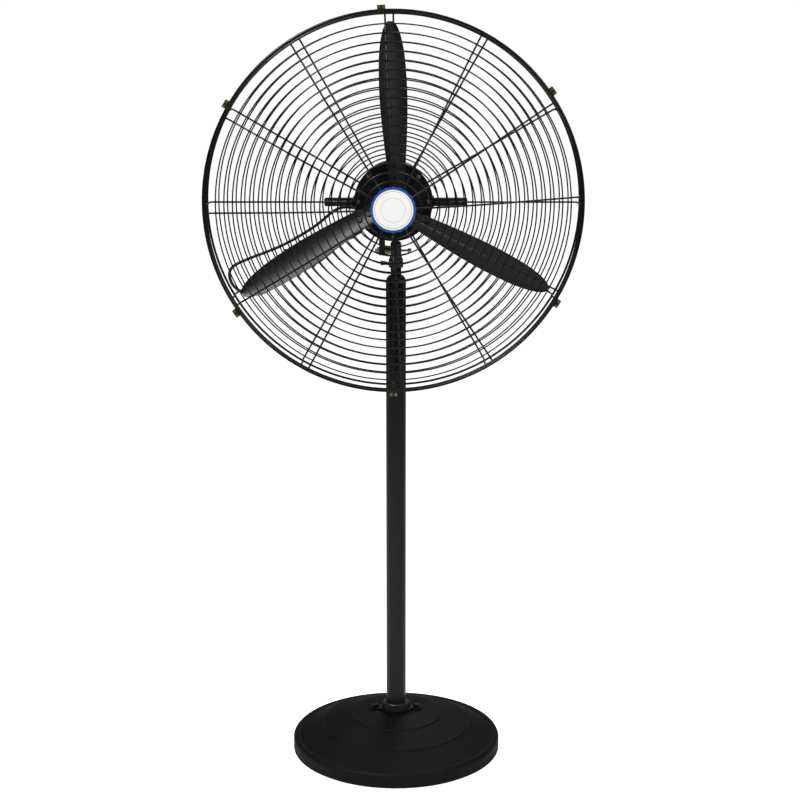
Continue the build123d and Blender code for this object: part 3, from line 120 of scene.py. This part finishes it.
GLAND_X = HEAD_X - math.sqrt(0.078**2 - 0.018**2) - 0.022
exit_point = (GLAND_X, -0.022, 1.267)
route = [
    exit_point,
    (GLAND_X - 0.020, -0.022, 1.267),
    (-0.146, -0.040, 1.252),
    (-0.166, -0.062, 1.236),
    (-0.192, -0.080, 1.220),
    (-0.230, -LAYER_1, 1.198),
    (-0.270, -LAYER_1, 1.180),
    (-0.320, -LAYER_1, 1.162),
    (-0.362, -LAYER_1, 1.142),
    (-0.357, -LAYER_1, 1.106),
    (-0.330, -LAYER_1, 1.086),
    (-0.297, -LAYER_1, 1.083),
    hank_point(-0.036, -OUT, LAYER_1),
    hank_point(0.020, -OUT, LAYER_1),
]
corners = [
    (RUN + OUT, -OUT, LAYER_1),
    (RUN + OUT, OUT, LAYER_1),
    (-MEAN, OUT, LAYER_1),
    (-MEAN, -INNER, LAYER_1),
    (RUN + INNER, -INNER, LAYER_1),
    (RUN + INNER, INNER, LAYER_1),
    (-INNER, INNER, LAYER_2),
    (-INNER, -INNER, LAYER_2),
    (RUN + MEAN, -INNER, LAYER_2),
    (RUN + MEAN, OUT, LAYER_2),
    (-OUT, OUT, LAYER_2),
    (-OUT, -OUT, LAYER_2),
    (RUN + 0.019, -OUT, LAYER_2),
    (RUN + 0.039, -0.012, LAYER_2),
    (RUN + 0.053, -0.012, LAYER_2),
]
route += [hank_point(*c) for c in corners]

lead_curve = bpy.data.curves.new("supply_lead", "CURVE")
lead_curve.dimensions = "3D"
lead_curve.bevel_depth = 1.0
lead_curve.bevel_resolution = 4
lead_curve.resolution_u = 12
spline = lead_curve.splines.new("NURBS")
spline.points.add(len(route) - 1)
for point, place in zip(spline.points, route):
    point.co = (*place, 1)
    point.radius = LEAD_R
spline.order_u = 3
spline.use_endpoint_u = True
lead = bpy.data.objects.new("supply_lead", lead_curve)
bpy.context.scene.collection.objects.link(lead)
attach(lead, "head")
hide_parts("cord_lead", "cord_hank")
print("lead points", len(route))


# %% [markdown]
# ## Round wires
# A tube is drawn along a run of points, closed for a ring and capped for a spoke.

# %% Tube along points
def tube(bm, points, radius, closed=False, sides=8):
    count = len(points)
    rings = []
    side = None
    for i, here in enumerate(points):
        before = points[i - 1] if closed or i else here
        after = points[(i + 1) % count] if closed or i < count - 1 else here
        along = (after - before).normalized()
        if side is None:
            side = along.cross(Vector((0, 1, 0)) if abs(along.y) < 0.9 else Vector((1, 0, 0))).normalized()
        side = (side - along * side.dot(along)).normalized()
        other = along.cross(side)
        ring = []
        for k in range(sides):
            a = math.tau * k / sides
            ring.append(bm.verts.new(here + radius * (math.cos(a) * side + math.sin(a) * other)))
        rings.append(ring)
    pairs = count if closed else count - 1
    for i in range(pairs):
        one, two = rings[i], rings[(i + 1) % count]
        for k in range(sides):
            n = (k + 1) % sides
            bm.faces.new((one[k], one[n], two[n], two[k]))
    if not closed:
        bm.faces.new(list(reversed(rings[0])))
        bm.faces.new(rings[-1])


def wire_ring(bm, r, d, radius, steps=120):
    tube(bm, [head_point(r, 360 * k / steps, d) for k in range(steps)], radius, closed=True)


def finish_wires(bm, name, slot, *replaced):
    bmesh.ops.recalc_face_normals(bm, faces=bm.faces)
    mesh = bpy.data.meshes.new(name)
    bm.to_mesh(mesh)
    bm.free()
    mesh.shade_smooth()
    piece = bpy.data.objects.new(name, mesh)
    bpy.context.scene.collection.objects.link(piece)
    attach(piece, "head")
    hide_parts(*replaced)
    print(name, len(mesh.vertices), "vertices")
    return piece


# %% Front guard rings
bm = bmesh.new()
for k in range(FRONT_RING_COUNT):
    r = FRONT_RING_FIRST + RING_PITCH * k
    wire_ring(bm, r, JUNCTION + dome(r), RING_WIRE_R)
front_rings = finish_wires(bm, "front_rings_round", "wire_black", "front_guard_rings")

# %% Front guard rim and shoulder ring
bm = bmesh.new()
wire_ring(bm, RIM_R, JUNCTION + RIM_OFF, RIM_WIRE_R, 160)
wire_ring(bm, SHOULDER_R, JUNCTION + SHOULDER_DEPTH + SIDE_WIRE_R, SIDE_WIRE_R, 160)
front_rim = finish_wires(bm, "front_rim_round", "wire_black", "front_guard_rim")

# %% Front guard spokes
bm = bmesh.new()
DROP = RING_WIRE_R * (1 + DOME_SLOPE) + SEAT_GAP + SPOKE_WIRE_R
for k in range(SPOKES):
    angle = SPOKE_TURN + 360 / SPOKES * k
    path = [(0.020 + 0.0175 * i) for i in range(21)]
    points = [head_point(r, angle, JUNCTION + dome(r) - DROP) for r in path]
    points.append(head_point(0.3835, angle, JUNCTION + dome(0.3835) - DROP))
    points.append(head_point(0.3885, angle, JUNCTION + 0.0090))
    points.append(head_point(0.3925, angle, JUNCTION + 0.0062))
    points.append(head_point(0.3945, angle, JUNCTION + 0.0008))
    tube(bm, points, SPOKE_WIRE_R)
front_spokes = finish_wires(bm, "front_spokes_round", "wire_black", "front_guard_spokes")

# %% Rear guard rings and corner ring
bm = bmesh.new()
for k in range(REAR_RING_COUNT):
    wire_ring(bm, REAR_RING_FIRST + RING_PITCH * k, REAR_RING_D, RING_WIRE_R)
wire_ring(bm, CORNER_R, PLATE_FRONT + SIDE_WIRE_R, SIDE_WIRE_R, 160)
rear_rings = finish_wires(bm, "rear_rings_round", "wire_black", "rear_guard_rings")

# %% Rear guard rim
bm = bmesh.new()
wire_ring(bm, RIM_R, JUNCTION - RIM_OFF, RIM_WIRE_R, 160)
rear_rim = finish_wires(bm, "rear_rim_round", "wire_black", "rear_guard_rim")

# %% Rear guard spokes, bent forward at the rim in one wire
bm = bmesh.new()
BEND = 0.0092
for k in range(SPOKES):
    angle = 360 / SPOKES * k
    flat = PLATE_FRONT + SPOKE_WIRE_R
    points = [head_point(r, angle, flat) for r in (0.084, 0.180, 0.280, 0.384)]
    for step in range(1, 5):
        a = math.radians(22.5 * step)
        points.append(head_point(0.384 + BEND * math.sin(a), angle, flat + BEND * (1 - math.cos(a))))
    points.append(head_point(0.3932, angle, JUNCTION - 0.012))
    points.append(head_point(0.3946, angle, JUNCTION - 0.006))
    points.append(head_point(0.3946, angle, JUNCTION - 0.0008))
    tube(bm, points, SPOKE_WIRE_R)
rear_spokes = finish_wires(bm, "rear_spokes_round", "wire_black", "rear_guard_spokes", "rear_guard_posts")


# %% [markdown]
# ## Materials
# One shared group gives each finish its mottling, its roughness and its fine bump.

# %% Shared finish group
def surface_group():
    group = bpy.data.node_groups.new("surface_finish", "ShaderNodeTree")
    for name, kind, value in (
        ("Color", "NodeSocketColor", (0.5, 0.5, 0.5, 1)),
        ("Variation", "NodeSocketFloat", 0.1),
        ("Roughness", "NodeSocketFloat", 0.4),
        ("Scale", "NodeSocketFloat", 60.0),
        ("Bump", "NodeSocketFloat", 0.1),
    ):
        socket = group.interface.new_socket(name=name, in_out="INPUT", socket_type=kind)
        socket.default_value = value
    for name, kind in (
        ("Color", "NodeSocketColor"),
        ("Roughness", "NodeSocketFloat"),
        ("Normal", "NodeSocketVector"),
    ):
        group.interface.new_socket(name=name, in_out="OUTPUT", socket_type=kind)
    n, link = group.nodes, group.links.new
    start, end = n.new("NodeGroupInput"), n.new("NodeGroupOutput")
    coords = n.new("ShaderNodeTexCoord")
    broad = n.new("ShaderNodeTexNoise")
    broad.inputs["Scale"].default_value = 9
    broad.inputs["Detail"].default_value = 5
    fine = n.new("ShaderNodeTexNoise")
    fine.inputs["Detail"].default_value = 4
    link(coords.outputs["Object"], broad.inputs["Vector"])
    link(coords.outputs["Object"], fine.inputs["Vector"])
    link(start.outputs["Scale"], fine.inputs["Scale"])
    shift = n.new("ShaderNodeMath")
    shift.operation = "SUBTRACT"
    shift.inputs[1].default_value = 0.5
    link(broad.outputs["Fac"], shift.inputs[0])
    amount = n.new("ShaderNodeMath")
    amount.operation = "MULTIPLY"
    link(shift.outputs[0], amount.inputs[0])
    link(start.outputs["Variation"], amount.inputs[1])
    bright = n.new("ShaderNodeMath")
    bright.operation = "MULTIPLY_ADD"
    bright.inputs[1].default_value = 4
    bright.inputs[2].default_value = 1
    link(amount.outputs[0], bright.inputs[0])
    tint = n.new("ShaderNodeVectorMath")
    tint.operation = "SCALE"
    link(start.outputs["Color"], tint.inputs[0])
    link(bright.outputs[0], tint.inputs["Scale"])
    rough = n.new("ShaderNodeMath")
    rough.operation = "ADD"
    rough.use_clamp = True
    link(start.outputs["Roughness"], rough.inputs[0])
    link(amount.outputs[0], rough.inputs[1])
    bump = n.new("ShaderNodeBump")
    bump.inputs["Distance"].default_value = 0.001
    link(start.outputs["Bump"], bump.inputs["Strength"])
    link(fine.outputs["Fac"], bump.inputs["Height"])
    link(tint.outputs[0], end.inputs["Color"])
    link(rough.outputs[0], end.inputs["Roughness"])
    link(bump.outputs[0], end.inputs["Normal"])
    return group


finish = surface_group()


def material(name, color, rough, metal=0.0, scale=60.0, bump=0.1, variation=0.1, coat=0.0, gloss=0.5):
    made = bpy.data.materials.new(name)
    made.use_nodes = True
    n, link = made.node_tree.nodes, made.node_tree.links.new
    shader = n["Principled BSDF"]
    shared = n.new("ShaderNodeGroup")
    shared.node_tree = finish
    shared.inputs["Color"].default_value = (*color, 1)
    shared.inputs["Variation"].default_value = variation
    shared.inputs["Roughness"].default_value = rough
    shared.inputs["Scale"].default_value = scale
    shared.inputs["Bump"].default_value = bump
    link(shared.outputs["Color"], shader.inputs["Base Color"])
    link(shared.outputs["Roughness"], shader.inputs["Roughness"])
    link(shared.outputs["Normal"], shader.inputs["Normal"])
    shader.inputs["Metallic"].default_value = metal
    shader.inputs["Specular IOR Level"].default_value = gloss
    shader.inputs["Coat Weight"].default_value = coat
    shader.inputs["Coat Roughness"].default_value = 0.12
    return made


# %% Finishes
FINISHES = {
    "cast_black": ((0.003, 0.003, 0.0033), dict(rough=0.42, scale=350, bump=0.25, variation=0.12, gloss=0.3)),
    "base_black": ((0.0045, 0.0045, 0.005), dict(rough=0.62, scale=420, bump=0.35, variation=0.2, gloss=0.15)),
    "pole_black": (
        (0.0015, 0.0015, 0.0015),
        dict(rough=0.25, scale=40, bump=0.03, variation=0.04, coat=0.15, gloss=0.25),
    ),
    "blade_black": ((0.004, 0.004, 0.0045), dict(rough=0.38, scale=180, bump=0.08, variation=0.10, gloss=0.35)),
    "wire_black": (
        (0.002, 0.002, 0.002),
        dict(rough=0.33, scale=90, bump=0.05, variation=0.06, coat=0.1, gloss=0.3),
    ),
    "zinc": ((0.30, 0.26, 0.15), dict(rough=0.36, metal=1.0, scale=220, bump=0.12, variation=0.2)),
    "steel": ((0.42, 0.42, 0.43), dict(rough=0.34, metal=1.0, scale=300, bump=0.1, variation=0.12)),
    "neck_steel": ((0.10, 0.10, 0.10), dict(rough=0.34, metal=0.8, scale=260, bump=0.12, variation=0.15)),
    "copper": ((0.60, 0.20, 0.07), dict(rough=0.3, metal=1.0, scale=500, bump=0.4, variation=0.15)),
    "black_plastic": ((0.004, 0.004, 0.0045), dict(rough=0.45, scale=600, bump=0.12, variation=0.08)),
    "badge_blue": ((0.012, 0.09, 0.36), dict(rough=0.28, scale=80, bump=0.03, variation=0.05, coat=0.4)),
    "badge_white": ((0.86, 0.86, 0.85), dict(rough=0.3, scale=80, bump=0.02, variation=0.02, coat=0.4)),
    "clip_bronze": ((0.06, 0.05, 0.03), dict(rough=0.42, metal=1.0, scale=220, bump=0.15, variation=0.3)),
    "rubber_black": ((0.004, 0.004, 0.004), dict(rough=0.6, scale=500, bump=0.15, variation=0.1)),
}
looks = {name: material(name, color, **values) for name, (color, values) in FINISHES.items()}
print("materials", len(looks))

# %% Thin tan rings on the badge's pale face
badge = looks["badge_white"]
n, link = badge.node_tree.nodes, badge.node_tree.links.new
flat = n.new("ShaderNodeVectorMath")
flat.operation = "MULTIPLY_ADD"
flat.inputs[1].default_value = (1, 0, 1)
flat.inputs[2].default_value = (-HEAD_X, 0, -HEAD_Z)
coords = n.new("ShaderNodeTexCoord")
link(coords.outputs["Object"], flat.inputs[0])
reach = n.new("ShaderNodeVectorMath")
reach.operation = "LENGTH"
link(flat.outputs[0], reach.inputs[0])
ramp = n.new("ShaderNodeValToRGB")
ramp.color_ramp.interpolation = "CONSTANT"
white, tan = (0.88, 0.88, 0.88, 1), (0.66, 0.42, 0.22, 1)
blue = (0.012, 0.10, 0.42, 1)
stops = [(0.0, white), (0.245, tan), (0.253, white), (0.375, tan), (0.383, white), (0.412, blue)]
ramp.color_ramp.elements[0].color = white
ramp.color_ramp.elements[1].position = stops[1][0]
ramp.color_ramp.elements[1].color = tan
for at, color in stops[2:]:
    element = ramp.color_ramp.elements.new(at)
    element.color = color
wider = n.new("ShaderNodeMath")
wider.operation = "MULTIPLY"
wider.inputs[1].default_value = 10
link(reach.outputs["Value"], wider.inputs[0])
link(wider.outputs[0], ramp.inputs["Fac"])
link(ramp.outputs["Color"], n["Group"].inputs["Color"])
print("badge rings done")

# %% Give every piece its finish
slots = {s["node"]: s["material_slot"] for s in frame["record"]["subparts"]}
for name, item in nodes.items():
    item.data.materials.clear()
    item.data.materials.append(looks[slots[name]])
nodes["blade_screws"].data.materials[0] = looks["cast_black"]
nodes["rim_clips"].data.materials[0] = looks["clip_bronze"]
nodes["foot_washer"].data.materials[0] = looks["neck_steel"]
for item in (front_rings, front_rim, front_spokes, rear_rings, rear_rim, rear_spokes):
    item.data.materials.append(looks["wire_black"])
lead_curve.materials.append(looks["rubber_black"])
print("finishes given", len(nodes))

# %% [markdown]
# A floor that looks white to the camera, and soft studio light, as in the photograph.

# %% Floor and light
bm = bmesh.new()
bmesh.ops.create_grid(bm, x_segments=1, y_segments=1, size=14)
floor_mesh = bpy.data.meshes.new("floor")
bm.to_mesh(floor_mesh)
bm.free()
floor = bpy.data.objects.new("floor", floor_mesh)
floor.location.z = -0.0005
bpy.context.scene.collection.objects.link(floor)
floor_white = material("floor_white", (0.9, 0.9, 0.9), 0.95, scale=3, bump=0.0, variation=0.01)
floor_shader = floor_white.node_tree.nodes["Principled BSDF"]
floor_shader.inputs["Emission Color"].default_value = (1, 1, 1, 1)
floor_ray = floor_white.node_tree.nodes.new("ShaderNodeLightPath")
floor_dim = floor_white.node_tree.nodes.new("ShaderNodeMapRange")
floor_dim.inputs["To Min"].default_value = 0.08
floor_dim.inputs["To Max"].default_value = 0.95
floor_white.node_tree.links.new(floor_ray.outputs["Is Camera Ray"], floor_dim.inputs["Value"])
floor_white.node_tree.links.new(floor_dim.outputs["Result"], floor_shader.inputs["Emission Strength"])
floor_shader.inputs["Specular IOR Level"].default_value = 0.0
floor_mesh.materials.append(floor_white)

world = bpy.data.worlds.new("studio")
bpy.context.scene.world = world
world.use_nodes = True
# the camera sees a white studio, and the surfaces reflect a much dimmer one
sky = world.node_tree.nodes
sky["Background"].inputs["Color"].default_value = (1, 1, 1, 1)
ray = sky.new("ShaderNodeLightPath")
dim = sky.new("ShaderNodeMapRange")
dim.inputs["To Min"].default_value = 0.06
dim.inputs["To Max"].default_value = 1.0
world.node_tree.links.new(ray.outputs["Is Camera Ray"], dim.inputs["Value"])
world.node_tree.links.new(dim.outputs["Result"], sky["Background"].inputs["Strength"])


def area_light(name, place, target, power, size):
    data = bpy.data.lights.new(name, "AREA")
    data.energy = power
    data.size = size
    lamp = bpy.data.objects.new(name, data)
    lamp.location = place
    lamp.rotation_euler = (Vector(target) - Vector(place)).to_track_quat("-Z", "Y").to_euler()
    bpy.context.scene.collection.objects.link(lamp)


area_light("key", (-1.6, -1.8, 3.5), (0, 0, 0.9), 110, 1.0)
area_light("fill", (2.2, -2.2, 2.6), (0, 0, 0.9), 40, 1.2)
area_light("rim", (0.6, 2.6, 3.0), (0, 0, 1.0), 25, 1.4)
bpy.context.scene.view_settings.view_transform = "Standard"
print("lights set")

# %% Bring the scene up to date
bpy.context.view_layer.update()
